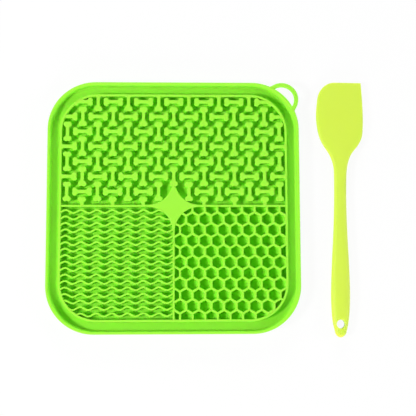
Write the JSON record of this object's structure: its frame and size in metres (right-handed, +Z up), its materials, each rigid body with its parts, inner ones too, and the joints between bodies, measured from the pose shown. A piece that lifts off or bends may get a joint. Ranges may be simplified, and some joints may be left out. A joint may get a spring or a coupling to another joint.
{
  "type": "lick mat with spatula",
  "caption": "Square silicone lick mat with a raised rim, a moat and fields of bones, waves and honeycomb round a star, with a corner hanging loop and a silicone spatula beside it.",
  "frame": {"origin": "under the centre of the mat's star, in the plane of the suction cup lips, on which the mat rests", "axes": "+Z up out of the licking side, +Y towards the bone field and the loop's corner, +X towards the honeycomb side, where the spatula lies"},
  "size_m": [0.2536, 0.205, 0.0105],
  "materials": {
    "mat_silicone": "satin lime green silicone, food grade",
    "spatula_silicone": "satin yellow-green silicone",
    "core_plastic": "natural moulded plastic, sealed inside the spatula"
  },
  "bodies": {
    "mat": {"base_sheet": "mat_silicone", "outer_rim": "mat_silicone", "field_border": "mat_silicone", "divider_ribs": "mat_silicone", "star_boss": "mat_silicone", "bone_field": "mat_silicone", "wave_field": "mat_silicone", "honeycomb_field": "mat_silicone", "hanging_loop": "mat_silicone", "suction_cups": "mat_silicone"},
    "spatula": {"spatula_skin": "spatula_silicone", "spatula_core": "core_plastic"}
  },
  "joints": [
    {"name": "spatula_lift", "type": "slide", "parent": "mat", "child": "spatula", "axis": [0, 0, 1], "range_m": [0, 0.12]}
  ]
}
